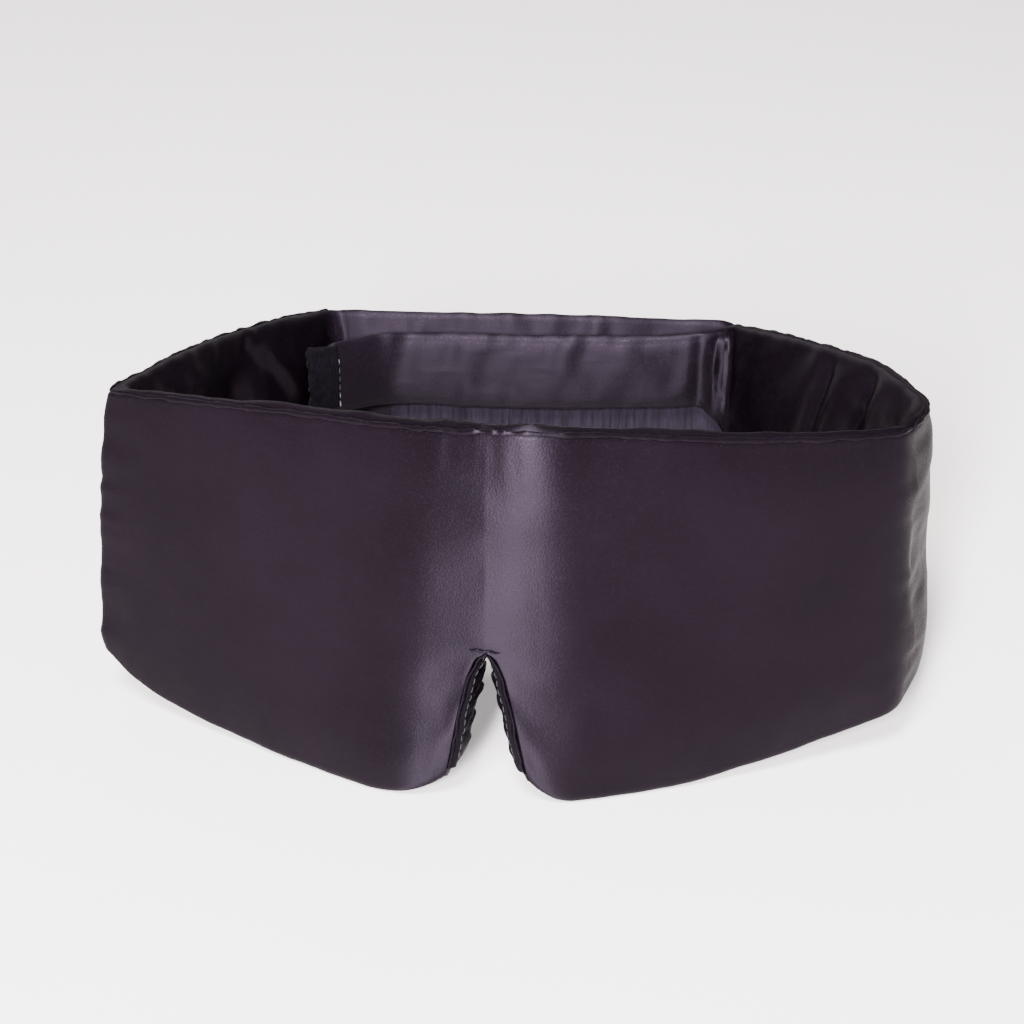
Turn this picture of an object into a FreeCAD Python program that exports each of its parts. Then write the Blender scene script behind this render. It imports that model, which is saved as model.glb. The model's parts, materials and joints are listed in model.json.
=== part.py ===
import FreeCAD, Part
import math
import os

# Sleep eye mask: a padded satin band standing on its lower edge as a closed ring.
# Units are millimetres. +Z is up, -Y is the front, +X is the right-hand side as seen
# from the front. The origin is the middle of the footprint, on the supporting surface.
# Plan paths below follow the OUTER face of the band, anticlockwise seen from above, as
# (x, y, corner radius). The inside of the ring is always on the left of a path.

# Heights
FRONT_HEIGHT = 106.0
CROWN_RISE = 2.7
TEMPLE_TOP = 95.5
TEMPLE_BOTTOM = 20.0
REAR_TOP = 72.0
HOOK_WING_BOTTOM = 42.0
HOOK_STRAP_TOP = 69.0
HOOK_STRAP_BOTTOM = 46.0

# Thicknesses
FRONT_THICKNESS = 8.0
WING_THICKNESS = 6.0
STRAP_THICKNESS = 4.6
SKIN = 0.7
BLACKOUT = 0.4
RIM = 1.6
TAPE_THICKNESS = 1.0
FACING_THICKNESS = 1.0
THREAD = 0.35
WELT = 1.6

# Clearances between bodies
HINGE_GAP = 0.5
STRAP_GAP = 0.4

# Plan of the front panel and the two side wings
LEFT_TEMPLE = (-109.0, -36.5)
FRONT_PATH = [
    (LEFT_TEMPLE[0], LEFT_TEMPLE[1], 0.0),
    (-30.0, -72.0, 90.0),
    (33.0, -75.5, 90.0),
    (101.5, -47.8, 8.0),
    (108.6, -31.0, 0.0),
]
LEFT_CORNER = (-65.3, 71.8)
LEFT_WING_PATH = [
    (LEFT_CORNER[0], LEFT_CORNER[1], 0.0),
    (-92.0, 20.0, 200.0),
    (LEFT_TEMPLE[0], LEFT_TEMPLE[1], 0.0),
]
RIGHT_CORNER = (58.0, 66.2)
RIGHT_WING_PATH = [
    (95.0, -63.0, 0.0),
    (101.5, -47.8, 0.0),
    (109.0, -30.0, 22.0),
    (94.5, 14.0, 150.0),
    (RIGHT_CORNER[0], RIGHT_CORNER[1], 0.0),
]

# Rear straps: the loop strap lies outside the hook strap, face to face
LOOP_STRAP_Y = LEFT_CORNER[1]
LOOP_STRAP_END = 62.0
HOOK_STRAP_Y = LOOP_STRAP_Y - STRAP_THICKNESS - TAPE_THICKNESS - STRAP_GAP - TAPE_THICKNESS
HOOK_STRAP_END = -60.5
HOOK_STRAP_BEND = -46.0
HOOK_END_DROP = 9.0
LOOP_STRAP_PATH = [(LOOP_STRAP_END, LOOP_STRAP_Y, 0.0), (LEFT_CORNER[0], LOOP_STRAP_Y, 0.0)]
HOOK_STRAP_PATH = [
    (RIGHT_CORNER[0], HOOK_STRAP_Y, 0.0),
    (HOOK_STRAP_BEND, HOOK_STRAP_Y, 30.0),
    (HOOK_STRAP_END, HOOK_STRAP_Y - HOOK_END_DROP, 0.0),
]

# Vertical fold lines. Both wings swing about points on the outer face of the temples,
# and both straps fold about the inner edge of the rear corners.
SWING = (48.4, 102.9)
LEFT_TEMPLE_AXIS = (-109.4, -37.2)
LEFT_CORNER_AXIS = (LEFT_TEMPLE_AXIS[0] + SWING[0], LEFT_TEMPLE_AXIS[1] + SWING[1])
RIGHT_TEMPLE_AXIS = (103.4, -43.4)
RIGHT_CORNER_AXIS = (RIGHT_TEMPLE_AXIS[0] - SWING[0], RIGHT_TEMPLE_AXIS[1] + SWING[1])
LOOP_PEEL_X = -42.0
HOOK_PEEL_X = 34.0

# Nose notch, in front view
NOTCH_X = -4.5
NOTCH_TOP = 45.5
NOTCH_HEAD = 3.8
NOTCH_FOOT = 13.0
NOTCH_HEAD_RADIUS = 2.6
NOTCH_LOBE_RADIUS = 9.0

# Working extents that reach past every panel
BAND_TOP = 125.0
FAR = 200.0


def in_plan(a, b):
    return FreeCAD.Vector(a, b, 0)


def in_front_view(a, b):
    return FreeCAD.Vector(a, -FAR, b)


def in_side_view(a, b):
    return FreeCAD.Vector(-FAR, a, b)


def unit(start, end):
    length = math.hypot(end[0] - start[0], end[1] - start[1])
    return ((end[0] - start[0]) / length, (end[1] - start[1]) / length)


def corner_points(before, corner, after):
    """Start, middle and end of the arc that rounds one corner."""
    arriving = unit(before, corner)
    leaving = unit(corner, after)
    dot = arriving[0] * leaving[0] + arriving[1] * leaving[1]
    turn = math.acos(max(-1.0, min(1.0, dot)))
    reach = corner[2] * math.tan(turn / 2)
    start = (corner[0] - arriving[0] * reach, corner[1] - arriving[1] * reach)
    end = (corner[0] + leaving[0] * reach, corner[1] + leaving[1] * reach)
    inward = unit(corner, ((start[0] + end[0]) / 2, (start[1] + end[1]) / 2))
    depth = corner[2] * (1 / math.cos(turn / 2) - 1)
    middle = (corner[0] + inward[0] * depth, corner[1] + inward[1] * depth)
    return start, middle, end


def rounded_edges(corners, closed, place):
    """Straight edges joined by tangent arcs through a list of (a, b, radius)."""
    count = len(corners)
    stops = []
    for index, corner in enumerate(corners):
        at_end = not closed and index in (0, count - 1)
        if at_end or corner[2] == 0.0:
            stops.append((corner, corner, corner))
        else:
            stops.append(corner_points(corners[index - 1], corner, corners[(index + 1) % count]))
    edges = []
    for index, (start, middle, end) in enumerate(stops):
        if start != end:
            arc = Part.Arc(place(start[0], start[1]), place(middle[0], middle[1]), place(end[0], end[1]))
            edges.append(arc.toShape())
        if closed or index < count - 1:
            following = stops[(index + 1) % count][0]
            edges.append(Part.makeLine(place(end[0], end[1]), place(following[0], following[1])))
    return edges


def offset_path(path, distance):
    """The same path moved to its left, which is towards the inside of the ring."""
    sides = [unit(path[index], path[index + 1]) for index in range(len(path) - 1)]
    moved = []
    for index, corner in enumerate(path):
        arriving = sides[max(index - 1, 0)]
        leaving = sides[min(index, len(sides) - 1)]
        left = (-arriving[1] - leaving[1], arriving[0] + leaving[0])
        scale = distance / (1 + arriving[0] * leaving[0] + arriving[1] * leaving[1])
        turns_left = arriving[0] * leaving[1] - arriving[1] * leaving[0] > 0
        radius = corner[2]
        if radius > 0.0:
            radius += -distance if turns_left else distance
        moved.append((corner[0] + left[0] * scale, corner[1] + left[1] * scale, radius))
    return moved


def band(path, near, far):
    """An upright layer of the band between two depths below its outer face."""
    outer = rounded_edges(offset_path(path, near), False, in_plan)
    inner = rounded_edges(offset_path(path, far), False, in_plan)
    first = Part.makeLine(outer[0].Vertexes[0].Point, inner[0].Vertexes[0].Point)
    last = Part.makeLine(outer[-1].Vertexes[-1].Point, inner[-1].Vertexes[-1].Point)
    wire = Part.Wire(Part.__sortEdges__(outer + inner + [first, last]))
    return Part.Face(wire).extrude(FreeCAD.Vector(0, 0, BAND_TOP))


def prism(corners, place, direction):
    """A rounded outline pushed right through the object."""
    wire = Part.Wire(Part.__sortEdges__(rounded_edges(corners, True, place)))
    return Part.Face(wire).extrude(direction)


def front_prism(corners):
    return prism(corners, in_front_view, FreeCAD.Vector(0, 2 * FAR, 0))


def side_prism(corners):
    return prism(corners, in_side_view, FreeCAD.Vector(2 * FAR, 0, 0))


def beyond(point, along):
    """The half space on the right of a vertical plane that runs from point towards along."""
    direction = unit((0.0, 0.0), along)
    block = Part.makeBox(2 * FAR, FAR, BAND_TOP * 2)
    block.translate(FreeCAD.Vector(-FAR, -FAR, -BAND_TOP / 2))
    angle = math.degrees(math.atan2(direction[1], direction[0]))
    block.rotate(FreeCAD.Vector(0, 0, 0), FreeCAD.Vector(0, 0, 1), angle)
    block.translate(FreeCAD.Vector(point[0], point[1], 0))
    return block


def shifted(point, along, distance):
    """A point moved sideways, to the right of a direction."""
    direction = unit((0.0, 0.0), along)
    return (point[0] + direction[1] * distance, point[1] - direction[0] * distance)


def reverse(along):
    return (-along[0], -along[1])


# Direction of each fold plane, from the outer face inwards
LEFT_TEMPLE_FOLD = (0.907, 0.421)
RIGHT_TEMPLE_FOLD = (-0.88, 0.475)
LEFT_CORNER_FOLD = (0.52, -0.854)
RIGHT_CORNER_FOLD = (-0.5, -0.866)
STRAIGHT_FOLD = (0.0, -1.0)
HALF_GAP = HINGE_GAP / 2


def side_a(point, along):
    """Cuts away what lies to the right of a fold plane, less half the gap."""
    return beyond(shifted(point, along, -HALF_GAP), along)


def side_b(point, along):
    """Cuts away what lies to the left of a fold plane, less half the gap."""
    return beyond(shifted(point, along, HALF_GAP), reverse(along))


def front_outline(inset):
    """Front view of the front panel: crowned top, two lobes and the nose notch."""
    foot = NOTCH_FOOT + inset
    head = NOTCH_HEAD + inset
    return [
        (-130.0, TEMPLE_TOP - 4.0 - inset, 0.0),
        (-95.0, TEMPLE_TOP + 1.8 - inset, 160.0),
        (5.0, FRONT_HEIGHT + CROWN_RISE - inset, 500.0),
        (95.0, TEMPLE_TOP + 1.8 - inset, 160.0),
        (130.0, TEMPLE_TOP - 4.0 - inset, 0.0),
        (130.0, TEMPLE_BOTTOM + 8.0 + inset, 0.0),
        (108.0, TEMPLE_BOTTOM - 2.0 + inset, 30.0),
        (76.0, 5.0 + inset, 90.0),
        (44.0, inset, 120.0),
        (NOTCH_X + foot, inset, NOTCH_LOBE_RADIUS),
        (NOTCH_X + head, NOTCH_TOP + inset, NOTCH_HEAD_RADIUS),
        (NOTCH_X - head, NOTCH_TOP + inset, NOTCH_HEAD_RADIUS),
        (NOTCH_X - foot, inset, NOTCH_LOBE_RADIUS),
        (-56.0, inset, 120.0),
        (-84.0, 5.0 + inset, 90.0),
        (-109.0, TEMPLE_BOTTOM - 2.0 + inset, 30.0),
        (-130.0, TEMPLE_BOTTOM + 8.0 + inset, 0.0),
    ]


def wing_outline(inset, rear_bottom):
    """Side view of a wing, which runs down from the temple to the rear strap."""
    front = -60.0
    rear = 80.0
    slope = (REAR_TOP - TEMPLE_TOP) / (LEFT_CORNER[1] - LEFT_TEMPLE[1])
    rise = (rear_bottom - TEMPLE_BOTTOM) / (LEFT_CORNER[1] - LEFT_TEMPLE[1])
    start = front - LEFT_TEMPLE[1]
    end = rear - LEFT_TEMPLE[1]
    return [
        (front, TEMPLE_TOP + slope * start - inset, 0.0),
        (rear, TEMPLE_TOP + slope * end - inset, 0.0),
        (rear, TEMPLE_BOTTOM + rise * end + inset, 0.0),
        (front, TEMPLE_BOTTOM + rise * start + inset, 0.0),
    ]


def loop_strap_outline(inset):
    return [
        (-80.0, REAR_TOP - inset, 0.0),
        (LOOP_STRAP_END - inset, REAR_TOP - inset, 9.0),
        (LOOP_STRAP_END - inset, inset, 16.0),
        (-80.0, inset, 0.0),
    ]


def hook_strap_outline(inset):
    """Front view of the narrow strap, which widens to the wing at the right rear corner."""
    return [
        (80.0, REAR_TOP - inset, 0.0),
        (50.0, REAR_TOP - inset, 30.0),
        (24.0, HOOK_STRAP_TOP - inset, 40.0),
        (-80.0, HOOK_STRAP_TOP - 1.5 - inset, 0.0),
        (-80.0, HOOK_STRAP_BOTTOM - 0.5 + inset, 0.0),
        (24.0, HOOK_STRAP_BOTTOM + inset, 40.0),
        (58.0, HOOK_WING_BOTTOM + inset, 30.0),
        (80.0, HOOK_WING_BOTTOM + inset, 0.0),
    ]


def trimmed(shape, cuts):
    for cut in cuts:
        shape = shape.cut(cut)
    return shape


def padded_panel(path, thickness, outline, core_outline, cuts, core_back):
    """A satin shell with its turned-in rim, the wadding in it and the lining behind it."""
    full = trimmed(band(path, 0.0, thickness).common(outline), cuts)
    lining = trimmed(band(path, thickness - SKIN, thickness).common(outline), cuts)
    core = trimmed(band(path, SKIN, thickness - SKIN).common(core_outline), cuts)
    wadding = trimmed(band(path, SKIN, thickness - SKIN - core_back).common(core_outline), cuts)
    shell = full.cut(lining).cut(core)
    return shell, wadding, lining


def stitch_row(start, end, length, pitch, width, depth_band):
    """Separate short stitches between two points of the front view, on a band layer."""
    run = math.hypot(end[0] - start[0], end[1] - start[1])
    direction = unit(start, end)
    side = (-direction[1] * width / 2, direction[0] * width / 2)
    stitches = []
    for index in range(int(run // pitch)):
        offset = index * pitch + (pitch - length) / 2
        a = (start[0] + direction[0] * offset, start[1] + direction[1] * offset)
        b = (a[0] + direction[0] * length, a[1] + direction[1] * length)
        corners = [
            (a[0] + side[0], a[1] + side[1], 0.0),
            (b[0] + side[0], b[1] + side[1], 0.0),
            (b[0] - side[0], b[1] - side[1], 0.0),
            (a[0] - side[0], a[1] - side[1], 0.0),
        ]
        stitches.append(front_prism(corners).common(depth_band))
    return stitches


def build_front():
    left_cut = side_b(LEFT_TEMPLE_AXIS, LEFT_TEMPLE_FOLD)
    right_cut = side_a(RIGHT_TEMPLE_AXIS, RIGHT_TEMPLE_FOLD)
    cuts = [left_cut, right_cut]
    shell, wadding, lining = padded_panel(
        FRONT_PATH, FRONT_THICKNESS, front_prism(front_outline(0.0)),
        front_prism(front_outline(RIM)), cuts, BLACKOUT)
    blackout_layer = band(FRONT_PATH, FRONT_THICKNESS - SKIN - BLACKOUT, FRONT_THICKNESS - SKIN)
    blackout = trimmed(blackout_layer.common(front_prism(front_outline(RIM))), cuts)
    return {
        "front_satin_shell": shell,
        "front_wadding": wadding,
        "front_blackout_sheet": blackout,
        "front_satin_lining": lining,
        "front_top_seam": top_seam(FRONT_PATH, FRONT_THICKNESS, front_outline(0.0), front_prism, cuts),
    }


def top_seam(path, thickness, outline, view, cuts):
    """The rolled seam that closes the upper rim, standing half out of it."""
    raised = [(a, b + WELT / 2, r) for a, b, r in outline]
    layer = band(path, (thickness - WELT) / 2, (thickness + WELT) / 2)
    ridge = layer.common(view(raised)).cut(view(outline))
    upper = Part.makeBox(2 * FAR, 2 * FAR, BAND_TOP)
    upper.translate(FreeCAD.Vector(-FAR, -FAR, (TEMPLE_TOP + TEMPLE_BOTTOM) / 2 - 8.0))
    return trimmed(ridge.common(upper), cuts)


def build_nose():
    """Facings that line the two sides of the notch, with their stitches and bar tack."""
    full = band(FRONT_PATH, 0.0, FRONT_THICKNESS)
    face = band(FRONT_PATH, -THREAD, 0.0)
    narrowing = NOTCH_FOOT - NOTCH_HEAD
    low = 0.17
    high = 0.90
    pieces = {}
    for name, sign in (("left", -1.0), ("right", 1.0)):
        foot = (NOTCH_X + sign * (NOTCH_FOOT - narrowing * low), NOTCH_TOP * low)
        head = (NOTCH_X + sign * (NOTCH_FOOT - narrowing * high), NOTCH_TOP * high)
        strip = [
            (foot[0], foot[1], 0.0),
            (head[0], head[1], 0.0),
            (head[0] - sign * FACING_THICKNESS, head[1], 0.0),
            (foot[0] - sign * FACING_THICKNESS, foot[1], 0.0),
        ]
        pieces["nose_facing_" + name] = front_prism(strip).common(full)
        row_foot = (foot[0] + sign * 2.2, foot[1] + 1.0)
        row_head = (head[0] + sign * 2.2, head[1] + 1.0)
        stitches = stitch_row(row_foot, row_head, 2.0, 3.1, 0.45, face)
        pieces["nose_stitches_" + name] = Part.makeCompound(stitches)
    tack = [
        (NOTCH_X - 4.5, NOTCH_TOP + 0.4, 0.0),
        (NOTCH_X + 4.5, NOTCH_TOP + 0.4, 0.0),
        (NOTCH_X + 4.5, NOTCH_TOP + 1.6, 0.0),
        (NOTCH_X - 4.5, NOTCH_TOP + 1.6, 0.0),
    ]
    pieces["nose_bar_tack"] = front_prism(tack).common(face)
    return pieces


def build_wings():
    left_cuts = [side_a(LEFT_TEMPLE_AXIS, LEFT_TEMPLE_FOLD), side_b(LEFT_CORNER_AXIS, LEFT_CORNER_FOLD)]
    right_cuts = [
        side_b(RIGHT_TEMPLE_AXIS, RIGHT_TEMPLE_FOLD),
        side_a(RIGHT_CORNER_AXIS, RIGHT_CORNER_FOLD),
    ]
    pieces = {}
    for name, path, rear_bottom, cuts in (
            ("left_wing", LEFT_WING_PATH, 0.0, left_cuts),
            ("right_wing", RIGHT_WING_PATH, HOOK_WING_BOTTOM, right_cuts)):
        outline = wing_outline(0.0, rear_bottom)
        core = wing_outline(RIM, rear_bottom)
        shell, wadding, lining = padded_panel(
            path, WING_THICKNESS, side_prism(outline), side_prism(core), cuts, 0.0)
        pieces[name + "_satin_shell"] = shell
        pieces[name + "_wadding"] = wadding
        pieces[name + "_satin_lining"] = lining
        pieces[name + "_top_seam"] = top_seam(path, WING_THICKNESS, outline, side_prism, cuts)
    return pieces


def build_straps():
    loop_fold = (LOOP_PEEL_X, LOOP_STRAP_Y)
    hook_fold = (HOOK_PEEL_X, HOOK_STRAP_Y)
    panels = (
        ("loop_strap_root", LOOP_STRAP_PATH, loop_strap_outline,
         [side_a(LEFT_CORNER_AXIS, LEFT_CORNER_FOLD), side_b(loop_fold, STRAIGHT_FOLD)]),
        ("loop_strap_free", LOOP_STRAP_PATH, loop_strap_outline,
         [side_a(loop_fold, STRAIGHT_FOLD)]),
        ("hook_strap_root", HOOK_STRAP_PATH, hook_strap_outline,
         [side_b(RIGHT_CORNER_AXIS, RIGHT_CORNER_FOLD), side_a(hook_fold, STRAIGHT_FOLD)]),
        ("hook_strap_free", HOOK_STRAP_PATH, hook_strap_outline,
         [side_b(hook_fold, STRAIGHT_FOLD)]),
    )
    pieces = {}
    for name, path, outline, cuts in panels:
        shell, wadding, lining = padded_panel(
            path, STRAP_THICKNESS, front_prism(outline(0.0)), front_prism(outline(RIM)), cuts, 0.0)
        pieces[name + "_shell"] = shell
        pieces[name + "_wadding"] = wadding
        pieces[name + "_lining"] = lining
    return pieces


def build_closure():
    """The loop patch sewn into the wide strap and the hook tape on the narrow strap."""
    patch_layer = band(LOOP_STRAP_PATH, STRAP_THICKNESS, STRAP_THICKNESS + TAPE_THICKNESS)
    groove_layer = band(LOOP_STRAP_PATH, STRAP_THICKNESS + TAPE_THICKNESS - THREAD,
                        STRAP_THICKNESS + TAPE_THICKNESS)
    patch_left = LOOP_PEEL_X + 2.0
    patch_right = LOOP_STRAP_END - 3.0
    patch_bottom = 7.0
    patch_top = REAR_TOP - 6.0
    patch = front_prism([
        (patch_left, patch_bottom, 0.0),
        (patch_right, patch_bottom, 12.0),
        (patch_right, patch_top, 12.0),
        (patch_left, patch_top, 0.0),
    ]).common(patch_layer)
    stitches = []
    for start, end in (
            ((patch_left + 2.0, patch_bottom + 2.0), (patch_left + 2.0, patch_top - 2.0)),
            ((patch_left + 4.0, patch_top - 2.0), (patch_right - 13.0, patch_top - 2.0)),
            ((patch_left + 4.0, patch_bottom + 2.0), (patch_right - 13.0, patch_bottom + 2.0)),
            ((patch_right - 2.0, patch_bottom + 13.0), (patch_right - 2.0, patch_top - 13.0))):
        stitches += stitch_row(start, end, 2.6, 4.2, 0.5, groove_layer)
    thread = Part.makeCompound(stitches)

    tape_layer = band(HOOK_STRAP_PATH, -TAPE_THICKNESS, 0.0)
    tape_bottom = HOOK_STRAP_BOTTOM + 2.5
    tape_top = HOOK_STRAP_TOP - 3.5
    tape = front_prism([
        (HOOK_STRAP_BEND + 2.0, tape_bottom, 2.0),
        (HOOK_STRAP_BEND + 42.0, tape_bottom, 2.0),
        (HOOK_STRAP_BEND + 42.0, tape_top, 2.0),
        (HOOK_STRAP_BEND + 2.0, tape_top, 2.0),
    ]).common(tape_layer)

    bend = unit(HOOK_STRAP_PATH[1], HOOK_STRAP_PATH[2])
    tip = HOOK_STRAP_PATH[2]
    tab_length = 5.5
    tab_path = [tip, (tip[0] + bend[0] * tab_length, tip[1] + bend[1] * tab_length, 0.0)]
    tab_layer = band(tab_path, 1.6, 1.6 + 1.4)
    tab = tab_layer.common(front_prism([
        (-80.0, tape_bottom - 0.5, 0.0),
        (0.0, tape_bottom - 0.5, 0.0),
        (0.0, tape_top + 0.5, 0.0),
        (-80.0, tape_top + 0.5, 0.0),
    ]))

    end_layer = band(HOOK_STRAP_PATH, STRAP_THICKNESS, STRAP_THICKNESS + THREAD)
    end_x = HOOK_STRAP_END + 3.5
    end_row = stitch_row((end_x, tape_bottom - 1.0), (end_x, tape_top + 1.0), 2.2, 3.3, 0.5, end_layer)
    return {
        "loop_patch": patch.cut(thread),
        "loop_patch_stitches": thread,
        "hook_tape": tape,
        "hook_pull_tab": tab,
        "hook_strap_end_stitches": Part.makeCompound(end_row),
    }


def main():
    os.makedirs("parts", exist_ok=True)
    nodes = {}
    for group in (build_front(), build_nose(), build_wings(), build_straps(), build_closure()):
        nodes.update(group)
    box = Part.makeCompound(list(nodes.values())).BoundBox
    to_origin = FreeCAD.Vector(-box.Center.x, -box.Center.y, -box.ZMin)
    for name, shape in nodes.items():
        placed = shape.copy()
        placed.translate(to_origin)
        placed.exportStep("parts/" + name + ".step")
        size = (name, placed.Volume, len(placed.Solids), placed.isValid())
        print("%-28s %10.1f mm3  solids %3d  valid %s" % size)
    print("object %.2f x %.2f x %.2f mm" % (box.XLength, box.YLength, box.ZLength))
    print("plan moved by %.3f, %.3f, %.3f" % (to_origin.x, to_origin.y, to_origin.z))
    for name, axis in (
            ("left_temple", LEFT_TEMPLE_AXIS), ("right_temple", RIGHT_TEMPLE_AXIS),
            ("left_corner", LEFT_CORNER_AXIS), ("right_corner", RIGHT_CORNER_AXIS),
            ("loop_peel", (LOOP_PEEL_X, LOOP_STRAP_Y)),
            ("hook_peel", (HOOK_PEEL_X, HOOK_STRAP_Y - STRAP_THICKNESS))):
        print("axis %-14s x %.3f  y %.3f" % (name, axis[0] + to_origin.x, axis[1] + to_origin.y))


main()
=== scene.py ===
import bpy
import json
import math
import numpy as np
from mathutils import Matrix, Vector

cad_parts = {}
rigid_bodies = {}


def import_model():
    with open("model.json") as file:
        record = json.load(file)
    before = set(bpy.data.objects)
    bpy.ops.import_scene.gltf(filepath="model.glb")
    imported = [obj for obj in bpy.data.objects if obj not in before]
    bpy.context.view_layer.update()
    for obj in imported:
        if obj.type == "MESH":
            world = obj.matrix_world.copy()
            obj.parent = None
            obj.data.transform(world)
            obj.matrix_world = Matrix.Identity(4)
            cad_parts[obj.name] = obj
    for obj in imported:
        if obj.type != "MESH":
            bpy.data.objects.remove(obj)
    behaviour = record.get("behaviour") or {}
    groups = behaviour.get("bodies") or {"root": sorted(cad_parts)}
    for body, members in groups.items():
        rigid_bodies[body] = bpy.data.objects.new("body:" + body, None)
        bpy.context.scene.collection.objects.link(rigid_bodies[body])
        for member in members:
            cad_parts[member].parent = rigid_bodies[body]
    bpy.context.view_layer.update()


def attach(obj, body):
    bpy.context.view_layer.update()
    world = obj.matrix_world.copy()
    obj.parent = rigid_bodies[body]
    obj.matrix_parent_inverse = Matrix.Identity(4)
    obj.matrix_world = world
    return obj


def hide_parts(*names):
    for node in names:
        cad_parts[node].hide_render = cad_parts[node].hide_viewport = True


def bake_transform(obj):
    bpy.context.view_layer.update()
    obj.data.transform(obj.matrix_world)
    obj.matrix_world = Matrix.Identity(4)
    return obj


for stray in list(bpy.data.objects):
    bpy.data.objects.remove(stray, do_unlink=True)
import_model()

MM = 0.001

# ---------------------------------------------------------------- driving values, in mm
# The band is one padded strip followed anticlockwise from above, from the free end of the
# loop strap round both wings and the front to the free end of the hook strap.
# One row per corner of its plan, on the outer face:
# top edge (x, y), bottom edge (x, y), rounding outside, rounding inside, thickness;
# a rounding is how far before and after the corner the bend begins and ends
CORNERS = [
    ((62.6, 73.2), (62.6, 73.2), 0.5, 0.5, 4.4),
    ((-64.6, 73.2), (-64.6, 73.2), 2.2, 5.0, 4.8),
    ((-89.4, 21.4), (-91.6, 21.0), 16.0, 15.0, 6.2),
    ((-107.0, -34.8), (-114.2, -36.8), 1.8, 5.5, 5.6),
    ((-19.0, -67.6), (-31.0, -77.8), (12.0, 9.0), (11.0, 9.0), 8.4),
    ((6.4, -73.4), (15.5, -79.6), (14.5, 10.0), (13.5, 10.0), 8.4),
    ((57.0, -64.4), (60.0, -65.2), 22.0, 20.0, 8.0),
    ((100.4, -46.0), (105.6, -47.0), 6.0, 4.0, 6.6),
    ((109.6, -27.0), (114.2, -27.8), 9.0, 7.0, 6.0),
    ((98.4, 3.6), (99.4, 3.6), 14.0, 12.0, 6.0),
    ((60.0, 66.2), (60.0, 66.2), 3.0, 6.0, 4.8),
    ((-45.3, 66.2), (-45.3, 66.2), 8.0, 8.0, 4.6),
    ((-63.2, 55.4), (-63.2, 55.4), 0.5, 0.5, 4.2),
]
# Places along the strip, counted in corners of its plan
LOOP_END, LEFT_REAR, LEFT_TEMPLE = 0.0, 1.0, 3.0
RIGHT_TEMPLE, RIGHT_REAR, HOOK_END = 7.25, 10.0, 12.0
LOOP_PEEL, HOOK_PEEL = 0.817, 10.24
NOTCH = 4.59
# The straps proper, clear of the rear corners, and the stretches that lie face to face
LOOP_STRAP_STOP, HOOK_STRAP_START = 0.97, 10.05
LOOP_FACE_STOP, HOOK_FACE_START = 0.98, 10.03
LOOP_FACE_Y, HOOK_FACE_Y = 68.5, 66.5

# Heights of the top and bottom edges at places along the strip
TOP_EDGE = [
    (0.0, 72.8), (0.4, 73.4), (1.0, 72.9), (1.5, 80.3), (2.0, 86.3), (2.5, 91.6), (3.0, 95.5),
    (3.5, 99.8), (4.0, 103.9), (4.5, 105.2), (5.0, 106.0), (5.4, 105.0), (6.0, 101.3),
    (6.5, 98.3), (7.0, 96.0), (7.5, 95.4), (8.0, 95.2), (9.0, 92.8), (9.5, 84.9),
    (10.0, 75.2), (10.06, 72.6), (10.25, 70.2), (10.6, 69.4), (11.0, 69.2), (12.0, 69.0),
]
BOTTOM_EDGE = [
    (0.0, 0.0), (1.0, 0.0), (2.0, 9.0), (2.7, 13.5), (3.0, 16.4), (3.08, 10.4), (3.2, 6.0),
    (3.35, 3.4), (3.5, 1.6), (3.65, 0.3), (3.8, 0.0), (5.5, 0.0), (5.8, 0.7), (6.05, 3.0),
    (6.3, 4.8), (6.52, 7.0), (6.78, 9.6), (6.95, 11.6), (7.25, 15.4), (8.0, 19.6),
    (9.0, 25.0), (9.7, 29.0), (9.95, 33.0), (10.03, 44.0), (10.08, 47.6), (10.2, 46.6), (10.5, 45.4),
    (11.0, 45.4), (12.0, 46.0),
]
# Half width of the nose notch below its top: at the satin face, and at the lining
NOTCH_TOP = 45.2
NOTCH_OUTER = [(0.0, 0.0), (0.9, 1.6), (2.2, 2.6), (7.2, 4.7), (13.7, 6.3), (21.2, 7.9),
               (29.2, 9.5), (34.2, 10.7), (40.7, 12.6), (45.2, 15.5)]
NOTCH_INNER = [(0.0, 0.0), (1.2, 0.2), (4.2, 1.0), (7.2, 2.0), (13.7, 3.3), (21.2, 4.8),
               (29.2, 6.5), (34.2, 8.2), (40.7, 11.4), (45.2, 15.2)]
# How far the notch pushes the cloth aside, in corners and as a length of the front in mm
NOTCH_REACH = 0.9
NOTCH_RUN_BOTTOM, NOTCH_RUN_TOP = 47.0, 26.0
# Lift of the lower edge beside the notch, and rounded ends of the straps
LOBE_RISE, LEFT_LOBE_REACH, RIGHT_LOBE_REACH = 6.5, 22.0, 14.0
END_ROUNDING = {LOOP_END: 8.0, HOOK_END: 3.5}
# Half height of the rolled rim as a share of the padding's thickness
RIM_SHARE = 0.42
# Share of the simulated movement kept: on the satin of the front's left and middle, and
# on the straps and on the rest of the band
CALM_LEFT, CALM_FRONT = 0.08, 0.26
STRAPS_KEPT, BAND_KEPT = 0.35, 0.7
# Cloth simulation: frames, pressure of the padding, growth of the cloth, largest movement
CLOTH_FRAMES, CLOTH_PRESSURE, CLOTH_SHRINK, LARGEST_MOVE = 17, 2.5, -0.022, 3.0
# Sewn pieces on the straps: places along the strip, and heights
PATCH_START, PATCH_STOP, PATCH_LOW, PATCH_HIGH, PATCH_ROUNDING = 0.012, 0.868, 7.0, 65.0, 22.0
TAPE_START, TAPE_STOP, TAPE_LOW, TAPE_HIGH = 10.60, 10.985, 49.0, 65.0
TAB_ROWS, TAB_COLUMNS, TAB_FOOT, TAB_HEIGHT, TAB_LENGTH = 34, 16, 49.0, 20.0, 8.4
LATTICE = 256

# ------------------------------------------------------------------------ plan of the strip


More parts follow.
